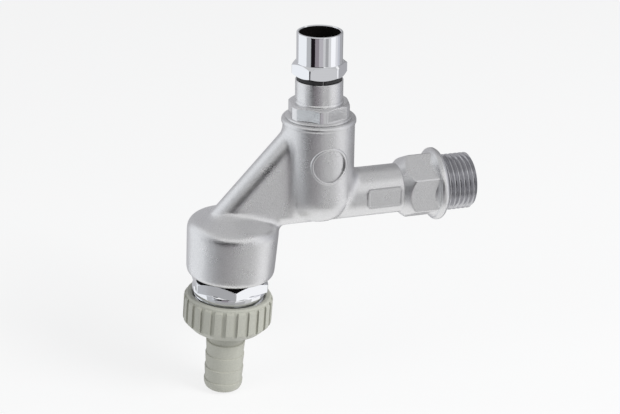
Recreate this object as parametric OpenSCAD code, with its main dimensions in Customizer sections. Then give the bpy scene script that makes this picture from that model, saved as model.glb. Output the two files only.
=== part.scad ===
// Key-operated bib tap, DN 15: wall inlet at the back, key sleeve on top, vacuum breaker and hose union below.
// The origin is the centre of the collar's wall side, on the inlet axis.
// +Y runs along the inlet towards the wall, +Z runs up along the barrel, and x = 0 is the symmetry plane.

/* [Inlet] */
// Outside diameter of the inlet thread
inlet_thread_d = 20.955; // [20.6:0.005:21.2]
// Length of the inlet thread from the collar to its end
inlet_thread_l = 12.3; // [10:0.1:15]
// Pitch of the pipe threads
thread_pitch = 1.814; // [1.4:0.002:2.2]
// Depth of the pipe thread grooves
thread_depth = 1.1; // [0.6:0.05:1.2]
// Diameter of the water way through the inlet
inlet_bore_d = 13; // [10:0.1:14]
// Diameter of the inlet tube
inlet_tube_d = 18.2; // [17.4:0.1:19.5]
// Diameter of the collar
collar_d = 27; // [25.6:0.1:30]
// Thickness of the collar
collar_t = 3.2; // [2.4:0.1:4.5]
// Flare between the collar and the hexagon, along the inlet
collar_flare = 2; // [1.2:0.1:3]
// Size across flats of the inlet hexagon
inlet_hex_af = 21.6; // [20.5:0.1:23]
// Distance from the collar's wall side to the hexagon's outer end
inlet_hex_end = 16.3; // [14:0.1:20]
// Length of the chamfer at the hexagon's outer end
inlet_hex_chamfer = 4.1; // [2.5:0.1:5]
// Length of the raised pad on the inlet tube
pad_l = 13; // [8:0.5:13.5]
// Height of the raised pad
pad_h = 7.4; // [5:0.1:9]
// Distance from the pad's centre to the collar's wall side
pad_y = 24; // [23:0.5:25]
// How far the pad stands out of the tube
pad_rise = 0.45; // [0.2:0.05:0.8]
// Width of the frame round the pad
pad_frame = 0.9; // [0.5:0.1:1.4]

/* [Barrel] */
// Distance from the collar's wall side to the barrel axis
barrel_y = 46.6; // [44:0.1:55]
// Diameter of the barrel
barrel_d = 26; // [25:0.1:28]
// Height of the barrel's top above the inlet axis
barrel_top = 31.2; // [30.4:0.1:33]
// Depth of the barrel's rounded underside below the inlet axis
barrel_bottom = 8.4; // [7.6:0.1:9]
// Radius of the barrel's rounded underside
barrel_dome_r = 11; // [8:0.1:12]
// How far the rim bead stands out of the barrel
rim_out = 0.45; // [0.2:0.05:0.8]
// Height of the rim bead
rim_h = 1.7; // [1:0.1:2.5]
// Radius of the round mark on the barrel's side
mark_r = 6; // [4:0.1:7]
// Height of the round mark above the inlet axis
mark_z = 16.8; // [14:0.1:18]
// Depth of the round mark
mark_depth = 0.5; // [0.2:0.05:0.8]
// Width of the raised edge round the mark
mark_edge = 0.6; // [0.3:0.05:1]

/* [Arm] */
// Thickness of the arm between the barrel and the outlet cup
arm_t = 11.4; // [10.6:0.1:13]
// Height of the arm's ridge axis at the barrel axis
arm_z = 32.4; // [31:0.1:33]
// Slope of the arm's ridge
arm_slope = 46.9; // [45:0.1:49]
// Depth of the arm's rounded underside below the inlet axis
arm_bottom = 9.4; // [8.6:0.1:10]
// Width of the cored water way through the arm
arm_bore_d = 7; // [5:0.1:7.4]

/* [Outlet cup] */
// Distance from the collar's wall side to the outlet axis, at the height of the inlet
outlet_y = 77.9; // [77:0.1:80]
// Angle by which the outlet's foot leans away from the wall
outlet_tilt = 4.2; // [2:0.1:6]
// Diameter of the cup at its top
cup_top_d = 33.4; // [32.6:0.1:35]
// Diameter of the cup at its bottom
cup_bottom_d = 32.3; // [31.4:0.1:34]
// Depth of the cup's bottom edge below the inlet axis
cup_bottom = 26.4; // [25.5:0.1:30]
// Depth at which the cup's shoulder begins
cup_shoulder = 9.2; // [8.6:0.1:10.5]
// Radius of the cup's shoulder
cup_shoulder_r = 4; // [3:0.1:5]
// Height of the crown's middle above the inlet axis
cup_crown = 0.2; // [-0.6:0.1:1]
// Radius of the cup's bottom corner
cup_corner_r = 1.9; // [1:0.1:2.4]
// Diameter of the cup's inside thread
cup_thread_d = 26.1; // [25.4:0.1:27]
// Length of the cup's inside thread
cup_thread_l = 10.9; // [9:0.1:12]
// Diameter of the chamber above the cup's thread
cup_chamber_d = 21.8; // [20.8:0.1:23]
// Depth of the chamber above the cup's thread
cup_chamber_l = 9; // [8.6:0.1:9.6]

/* [Valve seat] */
// Height of the valve seat above the inlet axis
seat_z = 10; // [9.5:0.1:11]
// Height of the seat's lip over the chamber floor
seat_lip = 0.8; // [0.4:0.1:1.2]
// Diameter of the hole in the seat
seat_bore_d = 10; // [8:0.1:11]
// Width of the seat's lip
seat_land = 1; // [0.6:0.1:1.5]
// Diameter of the valve chamber
chamber_d = 18.6; // [18:0.1:19]
// Number of turns from closed to open
valve_turns = 2.5; // [2:0.25:2.75]
// Pitch of the spindle thread
spindle_pitch = 2; // [1.5:0.1:2.1]

/* [Valve] */
// Diameter of the valve washer
washer_d = 13.8; // [13:0.1:14.4]
// Thickness of the valve washer
washer_t = 3; // [2.4:0.1:3.2]
// Gap over the seat when closed
closing_gap = 0.1; // [0.05:0.01:0.2]
// Diameter of the carrier's disc
carrier_disc_d = 16; // [15.6:0.1:17]
// Thickness of the carrier's disc above the washer
carrier_disc_t = 1.7; // [1.2:0.1:1.9]
// Height of the carrier's rim round the washer
carrier_rim_h = 1.7; // [1:0.1:2]
// Size across flats of the carrier's stem
carrier_af = 13; // [12.6:0.1:13.4]
// Length of thread that the spindle holds when closed
thread_hold = 5.6; // [4:0.1:5.8]
// Diameter of the washer screw
screw_d = 4; // [3:0.1:4.5]
// Diameter of the washer screw's head
screw_head_d = 6.4; // [5:0.1:7]
// Height of the washer screw's head
screw_head_h = 1.5; // [1:0.1:2.5]

/* [Bonnet] */
// Diameter of the bonnet's thread in the barrel
bonnet_thread_d = 20.955; // [20.4:0.005:21.2]
// Diameter of the round flange on the barrel
bonnet_flange_d = 24; // [23.4:0.1:25]
// Thickness of the round flange
bonnet_flange_t = 0.9; // [0.6:0.1:1.2]
// Size across flats of the bonnet's hexagon
bonnet_hex_af = 20.8; // [20.2:0.1:21.2]
// Diameter to which the hexagon's corners are turned
bonnet_corner_d = 22.5; // [22:0.1:23]
// Height of the bonnet's hexagon
bonnet_hex_h = 4.9; // [4.2:0.1:6]
// Diameter of the bonnet's neck
neck_d = 17.1; // [16.6:0.1:18]
// Height of the bonnet's neck above the hexagon
neck_h = 8.2; // [7.4:0.1:9]
// Diameter of the thread that holds the key sleeve
spigot_d = 13.9; // [13.5:0.1:14.2]
// Height of the thread that holds the key sleeve
spigot_h = 4.2; // [3.6:0.1:4.8]
// Turn of the bonnet's hexagon about the barrel axis
bonnet_turn = -8; // [-30:1:30]
// Thickness of the bonnet's seal ring
bonnet_seal_t = 1.6; // [1.2:0.1:1.8]

/* [Key sleeve] */
// Outside diameter of the sleeve
sleeve_d = 16.4; // [16:0.1:17]
// Inside diameter of the sleeve
sleeve_bore_d = 14.6; // [14.4:0.1:15.2]
// Height of the sleeve's mouth above the inlet axis
sleeve_top = 62.5; // [60:0.1:66]
// Size across flats of the sleeve's hexagon
sleeve_hex_af = 17.4; // [17:0.1:18]
// Height of the sleeve's hexagon
sleeve_hex_h = 4.9; // [4.4:0.1:6]
// Turn of the sleeve's hexagon about the barrel axis
sleeve_turn = 23; // [-30:1:30]
// Thickness of the black ring under the sleeve
neck_ring_t = 1.6; // [1:0.1:2]
// Outside diameter of the black ring under the sleeve
neck_ring_d = 16.3; // [15:0.1:16.6]
// Width of the slit in the black ring
ring_slit_w = 0.6; // [0.3:0.1:1.5]

/* [Spindle] */
// Diameter of the spindle's stem and thread
spindle_d = 10; // [9:0.1:10.2]
// Diameter of the spindle's collar
spindle_collar_d = 12.6; // [11.8:0.1:12.8]
// Thickness of the spindle's collar
spindle_collar_t = 2.2; // [1.4:0.1:2.3]
// Size across flats of the spindle's square head
square_af = 7; // [6:0.1:7]
// Height of the spindle's square head
square_h = 5.8; // [4.5:0.1:6.5]
// Thickness of the spindle's seal rings
stem_seal_t = 1.2; // [0.8:0.05:1.4]
// Distance from the spindle's shoulder to its lower seal ring
stem_seal_z = 3; // [2:0.1:4]
// Distance between the spindle's seal rings
stem_seal_step = 4; // [3:0.1:5]
// Thickness of the slip washer over the spindle's collar
slip_washer_t = 0.7; // [0.4:0.1:0.8]
// Thickness of the spindle's retaining clip
clip_t = 0.7; // [0.5:0.1:0.8]
// Outside diameter of the spindle's retaining clip
clip_d = 12.6; // [11.5:0.1:13.2]

/* [Vacuum breaker] */
// Size across flats of the vacuum breaker's hexagon
vent_hex_af = 26.2; // [25.8:0.1:27]
// Height of the vacuum breaker's hexagon
vent_hex_h = 4.4; // [3.6:0.1:6]
// Turn of the vacuum breaker's hexagon
vent_turn = -6; // [-30:1:30]
// Air gap between the cup and the hexagon
vent_gap = 0.5; // [0.3:0.05:0.9]
// Diameter of the round collar under the hexagon
vent_collar_d = 27.3; // [26.9:0.1:28]
// Height of the round collar under the hexagon
vent_collar_h = 2.8; // [2:0.1:4]
// Outside diameter of the hose thread
hose_thread_d = 26.44; // [26:0.01:26.8]
// Length of the hose thread
hose_thread_l = 8.3; // [7:0.1:10]
// Diameter of the vacuum breaker's inside
vent_bore_d = 20; // [18.6:0.1:20.6]
// Diameter of the hole through the ledge inside
vent_ledge_d = 17; // [15:0.1:17.5]
// Depth of the air groove above the hexagon
air_groove = 1.1; // [0.6:0.1:1.4]
// Number of air holes
air_holes = 8; // [4:1:12]
// Diameter of the air holes
air_hole_d = 1.6; // [1:0.1:2]
// Thickness of the diaphragm
diaphragm_t = 0.8; // [0.5:0.1:1.2]
// Diameter of the hole in the diaphragm
diaphragm_hole_d = 8; // [6:0.1:10]
// Height of the insert under the diaphragm
insert_h = 13.2; // [11:0.1:14.5]
// Diameter of the insert's waist
insert_waist_d = 16; // [14:0.1:16.6]
// Diameter of the insert's water way
insert_bore_d = 12; // [9:0.1:12.6]

/* [Check valve] */
// Thickness of the gasket over the check valve's flange
check_gasket_t = 1; // [0.8:0.1:1.4]
// Thickness of the check valve's flange
check_flange_t = 1.4; // [1:0.1:2]
// Diameter of the check valve's housing
check_d = 19; // [18.4:0.1:19.4]
// Height of the housing above its flange
check_top_h = 8.5; // [7.8:0.1:8.9]
// Depth of the housing below its flange
check_skirt_h = 4.1; // [3.2:0.1:5]
// Diameter of the housing's water way
check_hole_d = 10; // [7:0.1:10.4]
// Thickness of the housing's end plate
check_plate_t = 2.5; // [2:0.1:2.8]
// Diameter of the housing's inside
check_bore_d = 16; // [15.2:0.1:16.6]
// Diameter of the poppet
poppet_d = 12.8; // [11.8:0.1:13.4]
// Thickness of the poppet's disc
poppet_t = 1.2; // [0.8:0.1:1.6]
// Diameter of the poppet's stem
poppet_stem_d = 2.4; // [2:0.1:3]
// Thickness of the seal on the poppet
poppet_seal_t = 0.7; // [0.5:0.1:1]
// Travel of the poppet
poppet_travel = 3; // [2:0.1:3]
// Diameter of the poppet's spring
spring_d = 6; // [5:0.1:7]
// Diameter of the spring's wire
spring_wire_d = 0.5; // [0.3:0.05:0.6]
// Number of turns of the spring
spring_turns = 4; // [3:0.5:4.5]

/* [Hose union] */
// Largest diameter of the nut, over its ribs
nut_d = 32.8; // [31.8:0.1:34]
// Number of ribs on the nut
nut_ribs = 24; // [18:1:30]
// Depth of the grooves between the ribs
rib_depth = 0.8; // [0.4:0.05:1]
// Width of the grooves between the ribs
groove_w = 1.3; // [0.8:0.05:1.8]
// Turn of the nut's ribs
nut_turn = -5; // [-7:0.5:7]
// Depth of the nut's inside
nut_depth = 11.85; // [11:0.05:12.1]
// Thickness of the nut's floor
nut_floor_t = 1.75; // [1.4:0.05:2.5]
// Height of the ribs above the nut's underside
rib_foot = 3.3; // [2.4:0.1:4.5]
// Plain band above the ribs
rib_head = 1; // [0.6:0.1:1.6]
// Diameter of the nut's flat underside
nut_base_d = 26.6; // [24:0.1:29]
// Thickness of the hose gasket
hose_gasket_t = 1.6; // [1.2:0.1:2]
// Thickness of the hose tail's flange
tail_flange_t = 2.35; // [1.8:0.05:2.8]
// Largest diameter of the hose tail's barbs
tail_d = 14.55; // [13.8:0.05:15.5]
// Diameter of the hose tail where the nut turns on it
tail_journal_d = 15; // [14.8:0.1:16]
// Diameter of the hose tail's neck
tail_neck_d = 13.3; // [12.6:0.1:13.6]
// Length of the hose tail's neck below the nut
tail_neck_l = 5.7; // [4:0.1:8]
// Number of barbs
barbs = 3; // [2:1:4]
// Distance from the inlet axis to the hose tail's end, along the outlet
tail_end = 73.45; // [72:0.05:78]
// Depth of each barb's step
barb_step = 0.35; // [0.2:0.05:0.5]
// Length of the rounded tip
tail_tip_l = 3.5; // [2.5:0.1:5]
// Diameter of the hose tail's end
tail_tip_d = 12; // [11.6:0.1:12.8]
// Diameter of the hose tail's bore
tail_bore_d = 10.4; // [8:0.1:10.8]

/* [Clearances] */
// Radial clearance of screwed joints that stay tight
thread_gap = 0.05; // [0.02:0.01:0.1]
// Radial clearance of parts that turn or slide
running_gap = 0.07; // [0.03:0.01:0.1]
// End gap between faces that meet and move apart
face_gap = 0.05; // [0.02:0.01:0.1]
// Side clearance of parts dropped into a bore
drop_gap = 0.15; // [0.1:0.01:0.3]
// End clearance past the limits of travel
stop_gap = 0.6; // [0.4:0.1:0.8]

/* [Hidden] */
$fn = 72;
satin_chrome = "#c3c3c4";
bright_chrome = "#dcdfe4";
brass = "#c9a24a";
black_rubber = "#1b1b1c";
spring_steel = "#9a9da1";
natural_plastic = "#e6e2d4";
union_plastic = "#b9b9ae";
eps = 0.01;

// Inlet
inlet_thread_r = inlet_thread_d / 2;
thread_relief = 1.2;
thread_crest = 0.35;
inlet_overrun = 3.9;
arm_bore_z = 23;
arm_bore_step = 5;
arm_bore_slope = 44;
seal_sink = 1.1;
seal_play = 0.02;
clip_sink = 0.7;
barb_land = 0.5;
rim_round = 1.1;
ring_slit_turn = -6;

// Heights along the barrel axis
floor_z = seat_z - seat_lip;
lift = valve_turns * spindle_pitch;
washer_z = seat_z + closing_gap;
washer_top = washer_z + washer_t;
carrier_z = washer_top - carrier_rim_h;
disc_top = washer_top + carrier_disc_t;
socket_z = disc_top + stop_gap;
bonnet_z = disc_top + lift + stop_gap;
spindle_z = socket_z + lift + stop_gap;
carrier_top = spindle_z + thread_hold;
collar_z = carrier_top + lift + stop_gap;
collar_top = collar_z + spindle_collar_t;
slip_z = collar_top + face_gap;
bonnet_step = slip_z + slip_washer_t;
bonnet_hex_z = barrel_top + bonnet_flange_t;
neck_z = bonnet_hex_z + bonnet_hex_h;
neck_top = neck_z + neck_h;
spigot_top = neck_top + spigot_h;
sleeve_z = neck_top + neck_ring_t;
sleeve_hex_top = sleeve_z + sleeve_hex_h;
clip_z = spigot_top + face_gap;
seal_z = barrel_top - bonnet_seal_t / 2 - 0.5;
square_z = clip_z + clip_t + face_gap;
stem_groove_r = spindle_d / 2 + running_gap - stem_seal_t - 2 * seal_play;

// Depths along the outlet axis, which runs down from the inlet's height
cup_step = -cup_bottom + cup_thread_l;
check_flange_top = cup_step - check_gasket_t;
vent_top = check_flange_top - check_flange_t;
check_bottom = vent_top - check_skirt_h;
check_top = check_flange_top + check_top_h;
plate_bottom = check_top - check_plate_t;
diaphragm_bottom = check_bottom - diaphragm_t;
insert_bottom = diaphragm_bottom - insert_h;
vent_hex_top = -cup_bottom - vent_gap;
vent_hex_bottom = vent_hex_top - vent_hex_h;
vent_collar_bottom = vent_hex_bottom - vent_collar_h;
vent_bottom = vent_collar_bottom - hose_thread_l;
gasket_top = vent_bottom - face_gap;
flange_top = gasket_top - hose_gasket_t;
flange_bottom = flange_top - tail_flange_t;
nut_floor = flange_bottom - face_gap;
nut_bottom = nut_floor - nut_floor_t;
nut_top = nut_floor + nut_depth;
neck_bottom = nut_bottom - tail_neck_l;
tail_bottom = -tail_end;
barbs_bottom = tail_bottom + tail_tip_l;
barb_l = (neck_bottom - barbs_bottom) / barbs;
hose_thread_r = hose_thread_d / 2;
hose_flange_r = hose_thread_r - thread_depth - 0.3;
poppet_seal_top = plate_bottom - face_gap;
poppet_top = poppet_seal_top - poppet_seal_t;
poppet_bottom = poppet_top - poppet_t;
guide_t = 1.5;
spring_bottom = check_bottom + guide_t;
guide_hub_h = poppet_bottom - poppet_travel - stop_gap - spring_bottom;

// Points on an arc, for outlines
function arc(cx, cy, r, from, to, n = 6) =
    [for (i = [0:n]) let (a = from + (to - from) * i / n) [cx + r * cos(a), cy + r * sin(a)]];

// The three axes of the tap
module on_barrel() { translate([0, -barrel_y, 0]) children(); }
module on_outlet() { translate([0, -outlet_y, 0]) rotate([-outlet_tilt, 0, 0]) children(); }
module on_inlet() { rotate([-90, 0, 0]) children(); }

// A round bar between two heights
module bar(r, from, to) { translate([0, 0, from]) cylinder(r = r, h = to - from); }

// A ring between two heights
module ring(outer, inner, from, to) {
    difference() {
        bar(outer, from, to);
        bar(inner, from - 1, to + 1);
    }
}

// A straight bar with a given size across its flats
module hex_bar(af, from, to, turn = 0) {
    rotate([0, 0, turn]) translate([0, 0, from]) cylinder(r = af / sqrt(3), h = to - from, $fn = 6);
}

// A hexagon with its corners turned off in a cone at the lower and the upper end
module nut_form(af, from, to, turn, corner_d, low, high) {
    r = corner_d / 2;
    flat = af / 2 - 0.25;
    rise = (r - flat) * tan(32);
    intersection() {
        hex_bar(af, from, to, turn);
        rotate_extrude() polygon([[0, from], [r - low * (r - flat), from], [r, from + low * rise],
                                  [r, to - high * rise], [r - high * (r - flat), to], [0, to]]);
    }
}

// A pipe thread's outline from its shoulder to its end, as a row of grooves after a plain stretch
function thread_points(r, plain, length) = let (rows = floor((length - plain) / thread_pitch)) concat(
    [[r, 0]],
    [for (i = [0:rows - 1]) let (z = plain + i * thread_pitch) each
        [[r, z], [r - thread_depth, z + (thread_pitch - thread_crest) / 2], [r, z + thread_pitch - thread_crest]]],
    [[r, plain + rows * thread_pitch], [r - 0.3, length], [0, length]]);

// A ring of round section
module o_ring(inner, section, z) {
    rotate_extrude() translate([inner + section / 2, z]) circle(d = section, $fn = 24);
}

// The casting outside: barrel
module barrel_form() {
    r = barrel_d / 2;
    rim_r = r + rim_out;
    dome_z = barrel_dome_r - barrel_bottom;
    on_barrel() rotate_extrude() polygon(concat(
        [[0, -barrel_bottom]],
        arc(r - barrel_dome_r, dome_z, barrel_dome_r, -90, 0, 10),
        [[r, barrel_top - rim_h - rim_out], [rim_r, barrel_top - rim_h]],
        arc(rim_r - rim_round, barrel_top - rim_round, rim_round, 0, 90, 4),
        [[0, barrel_top]]));
}

// The casting outside: arm, a web with a round ridge and a round underside
module arm_form() {
    r = arm_t / 2;
    side = r - 0.12;
    head = 8;
    inset = 1.4;
    low_z = r - arm_bottom;
    reach = arm_z / tan(arm_slope);
    foot = (outlet_y - barrel_y + 5.6 - head) / cos(arm_slope);
    translate([0, -barrel_y, arm_z]) rotate([90 + arm_slope, 0, 0])
        translate([0, 0, head / cos(arm_slope)]) cylinder(r = r, h = foot);
    translate([0, -barrel_y, low_z]) rotate([90, 0, 0]) cylinder(r = r, h = outlet_y - barrel_y - inset);
    translate([-side, 0, 0]) rotate([90, 0, 90]) linear_extrude(height = 2 * side)
        polygon([[-barrel_y, low_z], [-barrel_y, arm_z - head * tan(arm_slope)],
                 [-barrel_y - head, arm_z - head * tan(arm_slope)], [-barrel_y - reach, 0],
                 [-barrel_y - reach, low_z]]);
}

// The casting outside: outlet cup
module cup_form() {
    top_r = cup_top_d / 2;
    low_r = cup_bottom_d / 2;
    on_outlet() rotate_extrude() polygon(concat(
        [[0, -cup_bottom]],
        arc(low_r - cup_corner_r, cup_corner_r - cup_bottom, cup_corner_r, -90, 0, 4),
        arc(top_r - cup_shoulder_r, -cup_shoulder, cup_shoulder_r, 0, 62, 6),
        [[0, cup_crown]]));
}

// The casting outside: inlet tube, hexagon, collar and thread
module inlet_form() {
    tube_r = inlet_tube_d / 2;
    hex_r = inlet_hex_af / sqrt(3);
    collar_r = collar_d / 2;
    on_inlet() {
        bar(tube_r, -barrel_y, -inlet_hex_end + inlet_hex_chamfer);
        intersection() {
            hex_bar(inlet_hex_af, -inlet_hex_end, -collar_t, 30);
            rotate_extrude() polygon([[0, -inlet_hex_end], [tube_r, -inlet_hex_end],
                [hex_r + eps, -inlet_hex_end + inlet_hex_chamfer], [hex_r + eps, -collar_t], [0, -collar_t]]);
        }
        rotate_extrude() polygon(concat(
            [[0, -collar_t - collar_flare], [inlet_hex_af / 2 - 0.3, -collar_t - collar_flare]],
            arc(collar_r - collar_t / 2, -collar_t / 2, collar_t / 2, -90, 0, 4),
            [[collar_r, -collar_t / 3], [collar_r - 0.8, 0], [0, 0]]));
        rotate_extrude() polygon(concat([[0, -1], [inlet_thread_r, -1]],
            thread_points(inlet_thread_r, thread_relief, inlet_thread_l)));
    }
}

// The water ways, seats and threads inside the casting
module body_ways() {
    seat_r = seat_bore_d / 2;
    seal_r = bonnet_thread_d / 2 - seal_sink + bonnet_seal_t;
    on_inlet() bar(inlet_bore_d / 2, -barrel_y - inlet_overrun, inlet_thread_l + 1);
    on_barrel() {
        bar(seat_r, 0, seat_z + 1);
        difference() {
            bar(chamber_d / 2, floor_z, bonnet_z);
            bar(seat_r + seat_land, floor_z - 1, seat_z);
        }
        bar(bonnet_thread_d / 2 + thread_gap, bonnet_z - stop_gap, barrel_top + 1);
        bar(seal_r + thread_gap, seal_z - bonnet_seal_t, barrel_top + 1);
    }
    for (i = [0:1]) translate([0, -barrel_y, arm_bore_z - i * arm_bore_step]) rotate([90 + arm_bore_slope, 0, 0])
        cylinder(r = arm_bore_d / 2, h = (outlet_y - barrel_y - 2) / cos(arm_bore_slope));
    on_outlet() {
        bar(cup_thread_d / 2, -cup_bottom - 1, cup_step);
        bar(cup_chamber_d / 2, cup_step - 1, cup_step + cup_chamber_l);
    }
}

// The round mark's blank field on the barrel
module mark_field() {
    difference() {
        translate([0, -barrel_y, mark_z]) rotate([0, 90, 0]) cylinder(r = mark_r, h = barrel_d);
        on_barrel() bar(barrel_d / 2 - mark_depth, -barrel_bottom, barrel_top);
    }
}

// The raised edge round the blank field
module mark_rim() {
    intersection() {
        translate([0, -barrel_y, mark_z]) rotate([0, 90, 0]) ring(mark_r + mark_edge, mark_r, 0, barrel_d);
        on_barrel() bar(barrel_d / 2 + mark_edge / 2, 0, barrel_top - rim_h - rim_out);
    }
}

// The blank framed pad on the inlet tube
module tube_pad() {
    face = inlet_tube_d / 2 + pad_rise;
    translate([0, -pad_y - pad_l / 2, -pad_h / 2 + 0.3]) difference() {
        cube([face, pad_l, pad_h]);
        translate([face - pad_rise * 0.6, pad_frame, pad_frame])
            cube([pad_rise, pad_l - 2 * pad_frame, pad_h - 2 * pad_frame]);
    }
}

module body() {
    color(satin_chrome) difference() {
        union() {
            barrel_form();
            arm_form();
            cup_form();
            inlet_form();
            mark_rim();
            tube_pad();
        }
        body_ways();
        mark_field();
    }
}

module bonnet() {
    thread_r = bonnet_thread_d / 2;
    color(satin_chrome) on_barrel() difference() {
        union() {
            bar(thread_r, bonnet_z, bonnet_hex_z);
            rotate_extrude() polygon([[0, barrel_top], [bonnet_flange_d / 2, barrel_top],
                [bonnet_flange_d / 2, barrel_top + bonnet_flange_t * 0.4],
                [bonnet_flange_d / 2 - 0.8, bonnet_hex_z], [0, bonnet_hex_z]]);
            nut_form(bonnet_hex_af, bonnet_hex_z - eps, neck_z, bonnet_turn, bonnet_corner_d, 0, 1);
            bar(neck_d / 2, neck_z - 1, neck_top);
            bar(spigot_d / 2, neck_top - 1, spigot_top);
        }
        hex_bar(carrier_af + 2 * running_gap, bonnet_z - 1, collar_z - stop_gap / 2, bonnet_turn);
        bar(spindle_collar_d / 2 + running_gap, collar_z - stop_gap, bonnet_step);
        bar(spindle_d / 2 + running_gap, bonnet_step - 1, spigot_top + 1);
        ring(thread_r + 1, thread_r - seal_sink, seal_z - bonnet_seal_t / 2 - 0.1, seal_z + bonnet_seal_t / 2 + 0.1);
    }
}

module bonnet_seal() {
    color(black_rubber) on_barrel()
        o_ring(bonnet_thread_d / 2 - seal_sink + seal_play, bonnet_seal_t - seal_play, seal_z);
}

module key_sleeve() {
    corner = sleeve_hex_af / sqrt(3) * 2 - 0.3;
    color(bright_chrome) on_barrel() difference() {
        union() {
            nut_form(sleeve_hex_af, sleeve_z, sleeve_hex_top, sleeve_turn, corner, 1, 1);
            bar(sleeve_d / 2, sleeve_hex_top - 1, sleeve_top);
        }
        bar(spigot_d / 2 + thread_gap, sleeve_z - 1, spigot_top + stop_gap);
        bar(sleeve_bore_d / 2, spigot_top + stop_gap - eps, sleeve_top + 1);
    }
}

module neck_ring() {
    color(black_rubber) on_barrel() difference() {
        ring(neck_ring_d / 2, spigot_d / 2 + thread_gap, neck_top, sleeve_z);
        rotate([0, 0, ring_slit_turn]) translate([0, -ring_slit_w / 2, neck_top - 1])
            cube([neck_ring_d, ring_slit_w, neck_ring_t + 2]);
    }
}

// Height of a seal ring's middle on the spindle
function stem_seal_at(i) = bonnet_step + stem_seal_z + i * stem_seal_step;

module spindle() {
    r = spindle_d / 2;
    color(brass) on_barrel() difference() {
        union() {
            bar(r, spindle_z, square_z);
            bar(spindle_collar_d / 2, collar_z, collar_top);
            intersection() {
                bar(r, square_z - 1, square_z + square_h);
                translate([-square_af / 2, -square_af / 2, square_z - 1])
                    cube([square_af, square_af, square_h + 1]);
            }
        }
        for (i = [0:1]) ring(r + 1, stem_groove_r, stem_seal_at(i) - stem_seal_t / 2 - 0.1,
                             stem_seal_at(i) + stem_seal_t / 2 + 0.1);
        ring(r + 1, r - clip_sink, clip_z - eps, clip_z + clip_t + eps);
    }
}

module spindle_seal(i) {
    color(black_rubber) on_barrel() o_ring(stem_groove_r + seal_play, stem_seal_t, stem_seal_at(i));
}
module spindle_seal_lower() { spindle_seal(0); }
module spindle_seal_upper() { spindle_seal(1); }

// A snap ring, open on one side
module spindle_clip() {
    inner = spindle_d / 2 - clip_sink + thread_gap;
    color(spring_steel) on_barrel() difference() {
        ring(clip_d / 2, inner, clip_z, clip_z + clip_t);
        translate([0, -inner * 0.8, clip_z - 1]) cube([clip_d, inner * 1.6, clip_t + 2]);
    }
}

module slip_washer() {
    color(natural_plastic) on_barrel()
        ring(spindle_collar_d / 2 - drop_gap, spindle_d / 2 + running_gap, slip_z, bonnet_step);
}

module valve_carrier() {
    color(brass) on_barrel() difference() {
        union() {
            bar(carrier_disc_d / 2, carrier_z, disc_top);
            nut_form(carrier_af, disc_top - eps, carrier_top, bonnet_turn, carrier_af / sqrt(3) * 2 - 0.4, 0, 1);
        }
        bar(washer_d / 2 + thread_gap, carrier_z - 1, washer_top);
        bar(screw_d / 2 + thread_gap, washer_top - 1, socket_z + 1);
        bar(spindle_d / 2 + running_gap, socket_z, carrier_top + 1);
    }
}

module valve_washer() {
    color(black_rubber) on_barrel() ring(washer_d / 2, screw_d / 2 + drop_gap, washer_z, washer_top);
}

module washer_screw() {
    color(brass) on_barrel() difference() {
        union() {
            bar(screw_head_d / 2, washer_z - screw_head_h, washer_z);
            bar(screw_d / 2, washer_z - 0.5, socket_z - 0.3);
        }
        translate([-screw_head_d / 2, -0.4, washer_z - screw_head_h - 1]) cube([screw_head_d, 0.8, 1.7]);
    }
}

module check_gasket() {
    color(black_rubber) on_outlet()
        ring(cup_thread_d / 2 - drop_gap, check_d / 2 + drop_gap, check_flange_top, cup_step);
}

module check_housing() {
    skirt_r = vent_bore_d / 2 - drop_gap;
    color(natural_plastic) on_outlet() difference() {
        union() {
            bar(check_d / 2, vent_top, check_top);
            bar(cup_thread_d / 2 - drop_gap, vent_top, check_flange_top);
            bar(skirt_r, check_bottom, vent_top + eps);
        }
        bar(check_bore_d / 2, check_bottom - 1, plate_bottom);
        bar(check_hole_d / 2, plate_bottom - 1, check_top + 1);
    }
}

// The three-armed guide that the poppet's stem slides in
module check_guide() {
    outer = check_bore_d / 2 - thread_gap;
    hub = spring_d / 2 - spring_wire_d / 2 - drop_gap;
    color(natural_plastic) on_outlet() difference() {
        union() {
            ring(outer, outer - 1.2, check_bottom, spring_bottom);
            bar(hub, check_bottom, spring_bottom + guide_hub_h);
            for (i = [0:2]) rotate([0, 0, 90 + 120 * i])
                translate([0, -0.7, check_bottom]) cube([outer - 0.6, 1.4, guide_t]);
        }
        bar(poppet_stem_d / 2 + running_gap, check_bottom - 1, spring_bottom + guide_hub_h + 1);
    }
}

module check_poppet() {
    boss = check_hole_d / 2 - 1.2;
    color(natural_plastic) on_outlet() union() {
        bar(poppet_d / 2, poppet_bottom, poppet_top);
        rotate_extrude() polygon([[0, poppet_top - eps], [boss, poppet_top - eps], [boss, poppet_seal_top],
                                  [boss - 1, poppet_seal_top + 1.2], [0, poppet_seal_top + 1.6]]);
        bar(poppet_stem_d / 2, check_bottom + 0.4, poppet_top);
    }
}

module poppet_seal() {
    color(black_rubber) on_outlet()
        ring(poppet_d / 2 - 0.2, check_hole_d / 2 - 1.2 + thread_gap, poppet_top, poppet_seal_top);
}

// A coil of round wire between two heights, as rings of points joined side to side
module coil(r, wire, turns, from, to) {
    sides = 8;
    rings = floor(turns * 16);
    points = [for (i = [0:rings], j = [0:sides - 1])
        let (a = 360 * turns * i / rings, b = 360 * j / sides, q = r + wire / 2 * cos(b))
        [q * cos(a), q * sin(a), from + wire / 2 + (to - from - wire) * i / rings + wire / 2 * sin(b)]];
    faces = concat(
        [[for (j = [0:sides - 1]) j]],
        [for (i = [0:rings - 1], j = [0:sides - 1]) let (k = (j + 1) % sides)
            [i * sides + j, (i + 1) * sides + j, (i + 1) * sides + k, i * sides + k]],
        [[for (j = [sides - 1:-1:0]) rings * sides + j]]);
    polyhedron(points = points, faces = faces, convexity = 8);
}

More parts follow.
